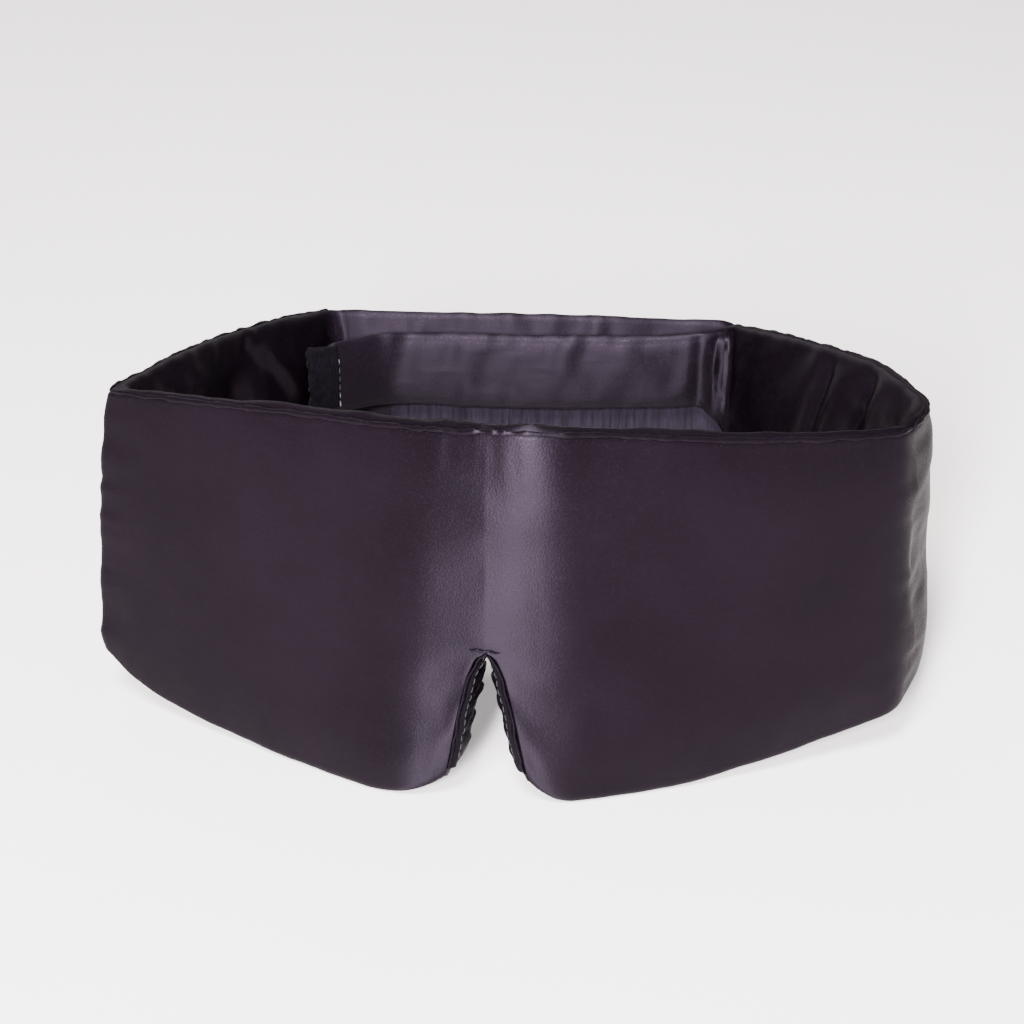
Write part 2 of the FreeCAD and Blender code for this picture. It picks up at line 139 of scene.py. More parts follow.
def unit2(a, b):
    d = np.array(b, float) - np.array(a, float)
    return d / np.linalg.norm(d)


def inside_corners(points):
    """The same corners on the lining, in from the outer face by the thickness."""
    moved = []
    for k, p in enumerate(points):
        before = unit2(points[k - 1], p) if k > 0 else unit2(p, points[k + 1])
        after = unit2(p, points[k + 1]) if k < len(points) - 1 else before
        left_a = np.array((-before[1], before[0]))
        left_b = np.array((-after[1], after[0]))
        mitre = (left_a + left_b) / (1.0 + left_a @ left_b)
        moved.append(np.array(p, float) + mitre * CORNERS[k][4])
    return moved


def along(points, cuts, q):
    """Points at places q on the polyline, with each corner rounded by its cut length."""
    pts = np.array(points, float)
    q = np.clip(q, 0.0, len(pts) - 1.0)
    k = np.minimum(q.astype(int), len(pts) - 2)
    f = q - k
    leg = pts[k + 1] - pts[k]
    length = np.linalg.norm(leg, axis=-1)
    flat = pts[k] + leg * f[..., None]
    before = np.array([c[0] if isinstance(c, tuple) else c for c in cuts])
    after = np.array([c[1] if isinstance(c, tuple) else c for c in cuts])
    near_start = f * length < after[k]
    near_end = (1.0 - f) * length < before[k + 1]
    corner = np.where(near_start, k, k + 1)
    side = np.where(near_start, f * length / after[corner], -(1.0 - f) * length / before[corner])
    t = np.clip(0.5 + 0.5 * side, 0.0, 1.0)
    middle = pts[corner]
    prior = pts[np.maximum(corner - 1, 0)]
    later = pts[np.minimum(corner + 1, len(pts) - 1)]
    din = middle - prior
    dout = later - middle
    din = np.where((corner == 0)[..., None], dout, din)
    dout = np.where((corner == len(pts) - 1)[..., None], din, dout)
    din = din / np.linalg.norm(din, axis=-1, keepdims=True)
    dout = dout / np.linalg.norm(dout, axis=-1, keepdims=True)
    a = middle - din * before[corner][..., None]
    b = middle + dout * after[corner][..., None]
    t = t[..., None]
    bent = (1 - t) ** 2 * a + 2 * t * (1 - t) * middle + t ** 2 * b
    return np.where((near_start | near_end)[..., None], bent, flat)


OUTER_CUTS = [row[2] for row in CORNERS]
INNER_CUTS = [row[3] for row in CORNERS]
PLAN = {
    ("top", 0): ([row[0] for row in CORNERS], OUTER_CUTS),
    ("bottom", 0): ([row[1] for row in CORNERS], OUTER_CUTS),
    ("top", 1): (inside_corners([row[0] for row in CORNERS]), INNER_CUTS),
    ("bottom", 1): (inside_corners([row[1] for row in CORNERS]), INNER_CUTS),
}


def plan(q, height, depth):
    """Plan position at place q, height 0..1 up the face, depth 0 satin .. 1 lining."""
    ends = []
    for level in ("bottom", "top"):
        face = along(*PLAN[(level, 0)], q)
        back = along(*PLAN[(level, 1)], q)
        ends.append(face + (back - face) * depth[..., None])
    return ends[0] + (ends[1] - ends[0]) * height[..., None]


DENSE = np.linspace(0.0, HOOK_END, 12001)
MEAN = plan(DENSE, np.full_like(DENSE, 0.4), np.full_like(DENSE, 0.5))
ARC = np.concatenate(([0.0], np.cumsum(np.linalg.norm(np.diff(MEAN, axis=0), axis=1))))


def arc_at(q):
    return np.interp(q, DENSE, ARC)


def edge_height(table, q, soften):
    """Height of an edge at q, its straight runs softened over a length of the strip."""
    raw = np.interp(DENSE, [row[0] for row in table], [row[1] for row in table])
    even = np.arange(0.0, ARC[-1], 0.5)
    run = np.interp(even, ARC, raw)
    reach = int(soften / 0.5)
    kernel = np.hanning(2 * reach + 1)
    kernel /= kernel.sum()
    run = np.convolve(np.pad(run, reach, mode="edge"), kernel, mode="valid")
    return np.interp(arc_at(q), even, run)


def edges_of(q):
    """Bottom and top heights of the strip at places q."""
    low = edge_height(BOTTOM_EDGE, q, 4.0)
    high = edge_height(TOP_EDGE, q, 9.0)
    gap = np.abs(arc_at(q) - arc_at(NOTCH))
    reach = np.where(q < NOTCH, LEFT_LOBE_REACH, RIGHT_LOBE_REACH)
    low = low + LOBE_RISE * np.clip(1.0 - gap / reach, 0.0, 1.0) ** 2
    for place, radius in END_ROUNDING.items():
        gap = np.clip(np.abs(arc_at(q) - arc_at(place)) / radius, 0.0, 1.0)
        drop = radius * (1.0 - np.sqrt(1.0 - (1.0 - gap) ** 2))
        low = low + drop
        high = high - drop * 0.7
    return low, high


def thickness_at(q):
    return np.interp(q, range(len(CORNERS)), [row[4] for row in CORNERS])


def places(step, fine):
    """Places along the strip a step apart, closer near the corners and the notch."""
    special = [arc_at(x) for x in (0.0, 1.0, 3.0, NOTCH, 7.0, 8.0, 10.0, 12.0)]
    gap = np.min([np.abs(ARC - s) for s in special], axis=0)
    spacing = np.minimum(step, fine + gap * 0.12)
    weight = np.concatenate(([0.0], np.cumsum(np.diff(ARC) / spacing[1:])))
    count = int(weight[-1])
    q = np.interp(np.linspace(0.0, weight[-1], count), weight, DENSE)
    for cut in (LOOP_PEEL, LEFT_REAR, LEFT_TEMPLE, NOTCH, RIGHT_TEMPLE, RIGHT_REAR, HOOK_PEEL):
        q[np.argmin(np.abs(q - cut))] = cut
    left = q[q <= NOTCH]
    right = q[q >= NOTCH]
    return left, right


class Section:
    """Rows round the strip: up the satin, over the top rim, down the lining, under."""

    def __init__(self, face_rows, rim_rows):
        self.face, self.rim = face_rows, rim_rows
        v = np.linspace(0.0, 1.0, face_rows)
        phi = np.linspace(0.0, math.pi, rim_rows + 2)[1:-1]
        over = 0.5 - 0.5 * np.cos(phi)
        pinch = 0.16 * np.abs(2 * v - 1) ** 7
        over = 0.16 + 0.68 * over
        self.depth = np.concatenate((pinch, over, 1 - pinch[::-1], over[::-1]))
        self.level = np.concatenate((v, np.ones(rim_rows), v[::-1], np.zeros(rim_rows)))
        self.round = np.concatenate(
            (np.zeros(face_rows), np.sin(phi), np.zeros(face_rows), -np.sin(phi)))
        self.count = 2 * (face_rows + rim_rows)
        low, high = edges_of(np.array([NOTCH]))
        rim = RIM_SHARE * thickness_at(NOTCH)
        self.apex = int(round((NOTCH_TOP - low[0] - rim) / (high[0] - low[0] - 2 * rim)
                              * (face_rows - 1)))
        self.open = np.zeros(self.count, bool)
        self.open[:self.apex] = True
        self.open[2 * face_rows + rim_rows - self.apex:] = True

    def mirror(self, j):
        """The row straight through the padding from row j."""
        return (2 * self.face + self.rim - 1 - j) % self.count

    def surface(self, q, side):
        """Positions of every row at places q; side is -1 left of the notch, 1 right."""
        low, high = edges_of(q)
        rim = RIM_SHARE * thickness_at(q)
        low, high, rim = low[:, None], high[:, None], rim[:, None]
        z = low + rim + self.level * (high - low - 2 * rim) + self.round * rim
        share = np.clip((z - low) / (high - low), 0.0, 1.0)
        depth = np.broadcast_to(self.depth, z.shape)
        below = np.clip(self.apex_height() - z, 0.0, None)
        outer = np.interp(below, [r[0] for r in NOTCH_OUTER], [r[1] for r in NOTCH_OUTER])
        inner = np.interp(below, [r[0] for r in NOTCH_INNER], [r[1] for r in NOTCH_INNER])
        width = outer + (inner - outer) * depth
        run = NOTCH_RUN_BOTTOM + (NOTCH_RUN_TOP - NOTCH_RUN_BOTTOM) * share
        fall = np.clip(1.0 - np.abs(q[:, None] - NOTCH) / NOTCH_REACH, 0.0, 1.0) ** 2
        shifted = q[:, None] + side * width / run * fall
        xy = plan(shifted, share, depth)
        return np.concatenate((xy, z[..., None]), axis=-1)

    def apex_height(self):
        low, high = edges_of(np.array([NOTCH]))
        rim = RIM_SHARE * thickness_at(NOTCH)
        return low[0] + rim + self.level[self.apex] * (high[0] - low[0] - 2 * rim)


# --------------------------------------------------------------------- smooth random fields


def field(u, v, seed, octaves=1):
    """Smooth random values about 0, one lump per unit of u and v."""
    total = np.zeros(np.broadcast(u, v).shape)
    for n in range(octaves):
        lattice = np.random.default_rng(seed + 31 * n).uniform(-1, 1, (LATTICE, LATTICE))
        a, b = u * 2 ** n + 11.3 * n, v * 2 ** n + 5.7 * n
        i, j = np.floor(a).astype(int), np.floor(b).astype(int)
        f, g = a - i, b - j
        f, g = f * f * (3 - 2 * f), g * g * (3 - 2 * g)
        i, j, i_next, j_next = i % LATTICE, j % LATTICE, (i + 1) % LATTICE, (j + 1) % LATTICE
        p = lattice[i, j] * (1 - f) + lattice[i_next, j] * f
        r = lattice[i, j_next] * (1 - f) + lattice[i_next, j_next] * f
        total += (p * (1 - g) + r * g) * 0.5 ** n
    return total


def step(x, low, high):
    t = np.clip((x - low) / (high - low), 0.0, 1.0)
    return t * t * (3 - 2 * t)


# ------------------------------------------------------------------------------- the strip


class Strip:
    """The whole band as two grids of points, left and right of the notch."""

    def __init__(self, spacing, fine, face_rows, rim_rows):
        self.section = Section(face_rows, rim_rows)
        self.q = list(places(spacing, fine))
        self.p = [self.section.surface(self.q[0], -1), self.section.surface(self.q[1], 1)]
        self.join()

    def join(self):
        """Above the notch both grids share one column."""
        shared = ~self.section.open
        middle = 0.5 * (self.p[0][-1, shared] + self.p[1][0, shared])
        self.p[0][-1, shared] = middle
        self.p[1][0, shared] = middle

    def normals(self):
        result = []
        for p in self.p:
            across = np.gradient(p, axis=0)
            around = 0.5 * (np.roll(p, -1, axis=1) - np.roll(p, 1, axis=1))
            n = np.cross(across, around)
            n /= np.linalg.norm(n, axis=-1, keepdims=True) + 1e-12
            result.append(n)
        shared = ~self.section.open
        middle = result[0][-1, shared] + result[1][0, shared]
        middle /= np.linalg.norm(middle, axis=-1, keepdims=True) + 1e-12
        result[0][-1, shared] = middle
        result[1][0, shared] = middle
        middle_row = self.section.face // 2
        if np.mean(result[0][:, middle_row, 1] * self.p[0][:, middle_row, 1]) < 0:
            result = [-n for n in result]
        return result

    def move(self, amounts):
        """Move every point along its normal by an amount in mm."""
        for p, n, amount in zip(self.p, self.normals(), amounts):
            p += n * amount[..., None]
        self.join()


# --------------------------------------------------------------------------- mesh building


def make_object(name, points, faces, creases=()):
    mesh = bpy.data.meshes.new(name)
    mesh.from_pydata([tuple(p) for p in np.asarray(points) * MM], [], faces)
    mesh.update()
    mesh.validate()
    mesh.polygons.foreach_set("use_smooth", [True] * len(mesh.polygons))
    if creases:
        marks = mesh.attributes.new("sharp_edge", "BOOLEAN", "EDGE")
        ends = np.empty(2 * len(mesh.edges), int)
        mesh.edges.foreach_get("vertices", ends)
        pairs = [tuple(sorted(pair)) in creases for pair in ends.reshape(-1, 2).tolist()]
        marks.data.foreach_set("value", pairs)
    obj = bpy.data.objects.new(name, mesh)
    bpy.context.scene.collection.objects.link(obj)
    return obj


class Patchwork:
    """Points and quads gathered from grids, with ladders of quads that close the ends."""

    def __init__(self):
        self.points, self.faces, self.rings = [], [], []

    def add(self, rows):
        start = len(self.points)
        self.points.extend(np.asarray(rows).reshape(-1, 3))
        return start

    def skin(self, index):
        """Quads over a grid of point numbers closed round its second axis."""
        turned = np.roll(index, -1, axis=1)
        for a, b, c, d in zip(index[:-1].ravel(), index[1:].ravel(),
                              turned[1:].ravel(), turned[:-1].ravel()):
            self.faces.append((int(a), int(b), int(c), int(d)))

    def ladder(self, rungs, push, flip, tips=None):
        """Quads between facing points of an end; push moves the middle of each rung out."""
        shares = (0.08, 0.25, 0.5, 0.75, 0.92)
        lines = []
        for number, (a, b) in enumerate(rungs):
            if tips is not None and number == 0:
                lines.append([a] + tips + [b])
                continue
            pa, pb = self.points[a], self.points[b]
            line = [a]
            for s in shares:
                swell = math.sqrt(4 * s * (1 - s))
                self.points.append(pa + (pb - pa) * s + np.asarray(push[number]) * swell)
                line.append(len(self.points) - 1)
            lines.append(line + [b])
        for low, high in zip(lines, lines[1:]):
            for k in range(len(low) - 1):
                quad = (low[k], low[k + 1], high[k + 1], high[k])
                self.faces.append(quad[::-1] if flip else quad)
        return lines


def end_rungs(section, column):
    """Pairs of facing points of a whole section, from the bottom seam to the top seam."""
    pairs = []
    for k in range(section.rim // 2, 0, -1):
        j = section.count - k
        pairs.append((j, section.mirror(j)))
    for j in range(section.face + section.rim // 2):
        pairs.append((j, section.mirror(j)))
    return [(int(column[a]), int(column[b])) for a, b in pairs]


def strip_object(name, strip, start, stop, free_start=0.0, free_stop=0.0):
    """A closed piece of the strip from place start to place stop."""
    work = Patchwork()
    section = strip.section
    columns = []
    for q, p in zip(strip.q, strip.p):
        keep = (q >= start - 1e-9) & (q <= stop + 1e-9)
        if keep.sum() > 1:
            base = work.add(p[keep])
            columns.append(base + np.arange(keep.sum() * section.count).reshape(-1, section.count))
    if len(columns) == 2:
        shared = ~section.open
        columns[1][0, shared] = columns[0][-1, shared]
    for index in columns:
        work.skin(index)
    for index, edge, bulge, flip in ((columns[0], 0, free_start, True),
                                     (columns[-1], -1, free_stop, False)):
        rungs = end_rungs(section, index[edge])
        inward = 1 if edge == 0 else -2
        push = []
        for a, b in rungs:
            row = int(np.where(index[edge] == a)[0][0])
            other = int(index[inward][row])
            out = work.points[a] - work.points[other]
            gap = np.linalg.norm(work.points[b] - work.points[a])
            push.append(out / (np.linalg.norm(out) + 1e-9) * bulge * min(1.0, gap / 3.0))
        work.ladder(rungs, push, flip)
        if bulge == 0.0:
            work.rings.extend(zip(index[edge], np.roll(index[edge], -1)))
    if len(columns) == 2:
        close_notch(work, section, columns)
    return make_object(name, *packed(work))


def close_notch(work, section, columns):
    """The two padded sides of the notch, meeting in one rounded rung at its top."""
    tips = None
    for index, direction, flip in ((columns[0][-1], 1.0, False), (columns[1][0], -1.0, True)):
        rungs = []
        for j in range(section.apex, -1, -1):
            rungs.append((int(index[j]), int(index[section.mirror(j)])))
        for k in range(1, section.rim // 2 + 1):
            j = section.count - k
            rungs.append((int(index[j]), int(index[section.mirror(j)])))
        push = []
        for number, _ in enumerate(rungs):
            rounding = 0.45 * min(1.0, number / 6.0)
            push.append(np.array((direction * rounding, 0.0, -0.2)))
        push[0] = np.array((0.0, 0.0, -0.8))
        lines = work.ladder(rungs, push, flip, tips)
        if tips is None:
            tips = lines[0][1:-1]


def packed(work):
    """Points and faces without the points that no face uses."""
    used = sorted({i for face in work.faces for i in face})
    new = {old: k for k, old in enumerate(used)}
    points = np.array([work.points[i] for i in used])
    faces = []
    for face in work.faces:
        kept = []
        for i in face:
            if new[i] not in kept:
                kept.append(new[i])
        if len(kept) > 2:
            faces.append(tuple(kept))
    creases = {tuple(sorted((new[int(a)], new[int(b)]))) for a, b in work.rings}
    return points, faces, creases


# ---------------------------------------------------------------- cloth: padding fills out


def settled(strip):
    """Movement of every point when the padding fills the cloth, held at its seams."""
    work = Patchwork()
    section = strip.section
    columns = []
    for p in strip.p:
        base = work.add(p)
        columns.append(base + np.arange(p.shape[0] * section.count).reshape(-1, section.count))
    shared = ~section.open
    columns[1][0, shared] = columns[0][-1, shared]
    for index in columns:
        work.skin(index)
    for index, edge, flip in ((columns[0], 0, True), (columns[1], -1, False)):
        rungs = end_rungs(section, index[edge])
        work.ladder(rungs, [np.zeros(3)] * len(rungs), flip)
    close_notch(work, section, columns)
    obj = make_object("cloth", work.points, work.faces)
    held = obj.vertex_groups.new(name="seams")
    rims = np.abs(section.round) > 0.3
    near = np.minimum(section.level, 1 - section.level) < 0.04
    for index in columns:
        held.add([int(i) for i in index[:, rims].ravel()], 1.0, "REPLACE")
        held.add([int(i) for i in index[:, near & ~rims].ravel()], 0.6, "REPLACE")
    extra = range(sum(c.size for c in columns), len(work.points))
    held.add([int(i) for i in extra], 1.0, "REPLACE")
    modifier = obj.modifiers.new("Cloth", "CLOTH")
    cloth = modifier.settings
    cloth.quality = 5
    cloth.mass = 0.15
    cloth.tension_stiffness = 14
    cloth.compression_stiffness = 14
    cloth.shear_stiffness = 5
    cloth.bending_stiffness = 0.25
    cloth.use_pressure = True
    cloth.uniform_pressure_force = CLOTH_PRESSURE
    cloth.shrink_min = CLOTH_SHRINK
    cloth.vertex_group_mass = "seams"
    cloth.pin_stiffness = 1.0
    cloth.effector_weights.gravity = 0.0
    modifier.collision_settings.use_self_collision = False
    scene = bpy.context.scene
    for f in range(1, CLOTH_FRAMES + 1):
        scene.frame_set(f)
    shown = obj.evaluated_get(bpy.context.evaluated_depsgraph_get())
    after = np.array([v.co for v in shown.data.vertices]) / MM
    bpy.data.objects.remove(obj, do_unlink=True)
    scene.frame_set(1)
    moves = []
    for index, p in zip(columns, strip.p):
        move = after[index] - np.array(work.points)[index]
        size = np.linalg.norm(move, axis=-1, keepdims=True)
        move *= np.minimum(1.0, LARGEST_MOVE / (size + 1e-9))
        moves.append(move)
    return moves


def carried(coarse, moves, fine):
    """The coarse movement read at the places and rows of the fine strip."""
    a, b = coarse.section, fine.section

    def turn(section):
        place = np.empty(section.count)
        n, r = section.face, section.rim
        place[:n] = np.linspace(0.0, 1.0, n)
        place[n:n + r] = 1.0 + np.arange(1, r + 1) / (r + 1) * 0.2
        place[n + r:2 * n + r] = np.linspace(1.2, 2.2, n)
        place[2 * n + r:] = 2.2 + np.arange(1, r + 1) / (r + 1) * 0.2
        return place

    ta, tb = turn(a), turn(b)
    result = []
    for q_from, move, q_to in zip(coarse.q, moves, fine.q):
        rows = np.empty((len(q_from), b.count, 3))
        for c in range(3):
            for i in range(len(q_from)):
                closed = np.append(move[i, :, c], move[i, 0, c])
                rows[i, :, c] = np.interp(tb, np.append(ta, 2.4), closed)
        full = np.empty((len(q_to), b.count, 3))
        for c in range(3):
            for j in range(b.count):
                full[:, j, c] = np.interp(q_to, q_from, rows[:, j, c])
        for _ in range(3):
            full[1:-1] = 0.25 * full[:-2] + 0.5 * full[1:-1] + 0.25 * full[2:]
            full = 0.25 * np.roll(full, 1, axis=1) + 0.5 * full + 0.25 * np.roll(full, -1, axis=1)
        result.append(full)
    shared = ~b.open
    for _ in range(40):
        both = np.concatenate((result[0][:, shared], result[1][1:, shared]))
        middle = len(result[0]) - 1
        near = np.exp(-((np.arange(len(both)) - middle) / 14.0) ** 2)[:, None, None]
        soft = both.copy()
        soft[1:-1] = 0.25 * both[:-2] + 0.5 * both[1:-1] + 0.25 * both[2:]
        both = both + (soft - both) * near
        result[0][:, shared] = both[:middle + 1]
        result[1][:, shared] = both[middle:]
    for full, q_to in zip(result, fine.q):
        calm = (step(q_to, 2.9, 3.0) * (1.0 - step(q_to, 7.1, 7.3)))[:, None]
        kept = CALM_LEFT + (CALM_FRONT - CALM_LEFT) * step(q_to, 3.6, 4.2)[:, None]
        full *= (1.0 - (1.0 - kept) * calm * (b.depth < 0.5))[..., None]
        straps = ((q_to < LOOP_STRAP_STOP) | (q_to > HOOK_STRAP_START))[:, None, None]
        full *= np.where(straps, STRAPS_KEPT, BAND_KEPT)
    return result


band = Strip(1.5, 0.55, 66, 8)
rough = Strip(4.8, 1.8, 24, 4)
for grid, move in zip(band.p, carried(rough, settled(rough), band)):
    grid += move
band.join()

# ------------------------------------------------------------------------ folds and puckers


def fold_amounts(strip, folds):
    """Heights of ridges and creases; each is (side, start, end, width, height)."""
    section = strip.section
    satin = section.depth < 0.5
    amounts = []
    for p in strip.p:
        total = np.zeros(p.shape[:2])
        for side, start, end, width, height in folds:
            a, b = np.array(start, float), np.array(end, float)
            line = b - a
            t = np.clip(((p - a) @ line) / (line @ line), 0.0, 1.0)
            gap = np.linalg.norm(p - (a + t[..., None] * line), axis=-1)
            taper = 0.35 + 0.65 * np.sin(np.pi * np.clip(t, 0.02, 0.98)) ** 0.5
            lump = height * taper * np.exp(-(gap / width) ** 2)
            if side == "satin":
                lump = lump * satin
            if side == "lining":
                lump = lump * ~satin
            total += lump
        amounts.append(total)
    return amounts


FOLDS = [
    # crease and soft lip over the top of the notch
    ("satin", (-9.0, -73.0, 46.0), (2.5, -73.8, 45.2), 0.8, -0.8),
    ("satin", (-8.0, -73.0, 48.2), (2.0, -73.8, 47.6), 1.8, 0.5),
    # creases across the lining of the left wing
    ("lining", (-98, -12, 84), (-90, -2, 62), 3.0, -1.6),
    ("lining", (-93, 2, 84), (-84, 18, 60), 3.4, 1.3),
    ("lining", (-80, 28, 78), (-74, 42, 60), 3.2, -1.8),
    ("lining", (-75, 36, 76), (-70, 48, 56), 2.6, 1.1),
    # tucks in the lining of the right wing
    ("lining", (88, 8, 86), (80, 20, 40), 3.2, 2.4),
    ("lining", (84, 14, 86), (76, 26, 42), 1.8, -2.6),
    ("lining", (98, -8, 90), (91, 2, 50), 2.8, 2.2),
    ("lining", (95, -3, 90), (88, 8, 50), 1.6, -2.2),
    # crumple at the right temple
    ("lining", (99, -34, 92), (93, -24, 60), 2.2, 2.2),
    ("lining", (95, -37, 92), (89, -28, 60), 1.6, -2.0),
    ("lining", (101, -26, 92), (96, -14, 60), 2.0, 2.0),
    # pleat where the hook strap folds off the right wing
    ("lining", (58, 59, 74), (57, 58, 42), 1.6, -1.8),
    ("lining", (54, 61, 73), (53.5, 61, 44), 1.1, 1.5),
    ("lining", (50, 61.5, 71), (49.5, 61.5, 46), 2.0, -1.4),
]


def pucker_amounts(strip):
    """Small gathers along the seams and slow waves over the faces."""
    section = strip.section
    rim_gap = np.minimum(section.level, 1 - section.level)
    satin = section.depth < 0.5
    amounts = []
    for q, p in zip(strip.q, strip.p):
        s = arc_at(q)[:, None]
        z = p[..., 2]
        front = (step(q, 3.0, 3.15) * (1 - step(q, 7.0, 7.2)))[:, None]
        near = np.exp(-(rim_gap * 75.0 / 7.0) ** 2)
        gather = field(s / 6.5, z / 26.0, 3, 2) * near * (0.24 - 0.12 * front * satin)
        slow = field(s / 26.0, z / 34.0, 9, 2) * np.where(satin, 0.22 * (1.0 - 0.85 * front), 0.45)
        creases = field(s / 9.0 + z / 30.0, z / 40.0, 14, 2)
        creases *= np.where(satin, 0.10 * (1.0 - 0.8 * front), 0.30)
        temples = np.exp(-(np.minimum(np.abs(s - arc_at(3.0)), np.abs(s - arc_at(7.3))) / 7.0) ** 2)
        side_puckers = field(s / 40.0, z / 5.5, 21, 2) * temples * 0.55
        straps = ((q < LOOP_STRAP_STOP) | (q > HOOK_STRAP_START))[:, None]
        amounts.append((gather + slow) * np.where(straps, 0.6, 1.0) + creases + side_puckers)
    return amounts


band.move(fold_amounts(band, FOLDS))
band.move(pucker_amounts(band))

# the two straps lie face to face and stay clear of each other, and nothing sinks into
# the floor
for q, p in zip(band.q, band.p):
    satin = band.section.depth < 0.5
    hook = ((q > HOOK_FACE_START)[:, None] & satin).nonzero()
    p[hook[0], hook[1], 1] = np.minimum(p[hook[0], hook[1], 1], HOOK_FACE_Y)
    loop = ((q < LOOP_FACE_STOP)[:, None] & ~satin).nonzero()
    p[loop[0], loop[1], 1] = np.maximum(p[loop[0], loop[1], 1], LOOP_FACE_Y)
    p[..., 2] = np.maximum(p[..., 2], 0.0)

# ---------------------------------------------------------------------------------- finishes


def nodes_of(name):
    material = bpy.data.materials.new(name)
    material.use_nodes = True
    tree = material.node_tree
    shader = tree.nodes["Principled BSDF"]
    return material, tree, shader


def linked(tree, kind, inputs=(), **settings):
    node = tree.nodes.new(kind)
    for key, value in settings.items():
        setattr(node, key, value)
    for key, value in dict(inputs).items():
        if isinstance(value, bpy.types.NodeSocket):
            tree.links.new(value, node.inputs[key])
        else:
            node.inputs[key].default_value = value
    return node


def noise_at(tree, where, scale, detail=2.0, rough=0.5):
    return linked(tree, "ShaderNodeTexNoise", {
        "Vector": where, "Scale": scale, "Detail": detail, "Roughness": rough}).outputs["Fac"]


def blended(tree, amount, first, second):
    mix = linked(tree, "ShaderNodeMix", {"Factor": amount}, data_type="RGBA")
    for socket, value in ((mix.inputs[6], first), (mix.inputs[7], second)):
        if isinstance(value, bpy.types.NodeSocket):
            tree.links.new(value, socket)
        else:
            socket.default_value = (*value, 1.0)
    return mix.outputs[2]


def ranged(tree, value, low, high, to_low, to_high):
    return linked(tree, "ShaderNodeMapRange", {
        "Value": value, "From Min": low, "From Max": high,
        "To Min": to_low, "To Max": to_high}).outputs["Result"]


def satin(name, dark, light, roughness=0.46, gloss=0.09, stretch=0.95):
    """Satin: threads lie along the band, so its shine spreads up and down."""
    material, tree, shader = nodes_of(name)
    where = tree.nodes.new("ShaderNodeTexCoord").outputs["Object"]
    clouds = noise_at(tree, where, 28.0, 3.0)
    grain = noise_at(tree, where, 1900.0, 1.0, 0.6)
    slub = noise_at(tree, linked(tree, "ShaderNodeMapping", {
        "Vector": where, "Scale": (160.0, 160.0, 1400.0)}).outputs[0], 1.0, 2.0)
    tone = blended(tree, ranged(tree, clouds, 0.35, 0.65, 0.0, 1.0), dark, light)
    speck = blended(tree, ranged(tree, grain, 0.5, 0.78, 0.0, 0.55), tone,
                    tuple(min(1.0, c * 2.6) for c in light))
    shader.inputs["Base Color"].default_value = (*dark, 1.0)
    tree.links.new(speck, shader.inputs["Base Color"])
    tree.links.new(ranged(tree, grain, 0.3, 0.7, roughness - 0.06, roughness + 0.08),
                   shader.inputs["Roughness"])
    shader.inputs["Specular IOR Level"].default_value = gloss
    shader.inputs["Specular Tint"].default_value = (0.88, 0.72, 0.98, 1.0)
    shader.inputs["Anisotropic"].default_value = stretch
    shader.inputs["Anisotropic Rotation"].default_value = 0.25
    facing = tree.nodes.new("ShaderNodeNewGeometry")
    level = linked(tree, "ShaderNodeVectorMath", {0: (0.0, 0.0, 1.0), 1: facing.outputs["Normal"]},
                   operation="CROSS_PRODUCT")
    tangent = linked(tree, "ShaderNodeVectorMath", {0: level.outputs[0]}, operation="NORMALIZE")
    tree.links.new(tangent.outputs[0], shader.inputs["Tangent"])
    rumple = linked(tree, "ShaderNodeBump", {
        "Height": noise_at(tree, where, 90.0, 2.0), "Strength": 0.05, "Distance": 0.0012})
    threads = linked(tree, "ShaderNodeBump", {
        "Height": slub, "Strength": 0.10, "Distance": 0.0003, "Normal": rumple.outputs[0]})
    fine = linked(tree, "ShaderNodeBump", {
        "Height": grain, "Strength": 0.15, "Distance": 0.00022, "Normal": threads.outputs[0]})
    tree.links.new(fine.outputs[0], shader.inputs["Normal"])
    return material


def matt_cloth(name, dark, light, ribs, roughness=0.85, sheen=0.02, gloss=0.10):
    """Brushed or ribbed cloth; ribs are the scales of its texture in x, y and z."""
    material, tree, shader = nodes_of(name)
    where = tree.nodes.new("ShaderNodeTexCoord").outputs["Object"]
    clouds = noise_at(tree, where, 60.0, 3.0)
    stretched = linked(tree, "ShaderNodeMapping", {"Vector": where, "Scale": ribs}).outputs[0]
    rib = noise_at(tree, stretched, 1.0, 3.0, 0.6)
    tone = blended(tree, clouds, dark, light)
    shade = blended(tree, ranged(tree, rib, 0.35, 0.7, 0.0, 1.0), tone,
                    tuple(c * 1.9 for c in light))
    tree.links.new(shade, shader.inputs["Base Color"])
    tree.links.new(ranged(tree, rib, 0.3, 0.7, roughness - 0.1, min(1.0, roughness + 0.1)),
                   shader.inputs["Roughness"])
    shader.inputs["Specular IOR Level"].default_value = gloss
    shader.inputs["Sheen Weight"].default_value = sheen
    shader.inputs["Sheen Roughness"].default_value = 0.5
    bump = linked(tree, "ShaderNodeBump", {"Height": rib, "Strength": 0.6, "Distance": 0.0006})
    tree.links.new(bump.outputs[0], shader.inputs["Normal"])
    return material


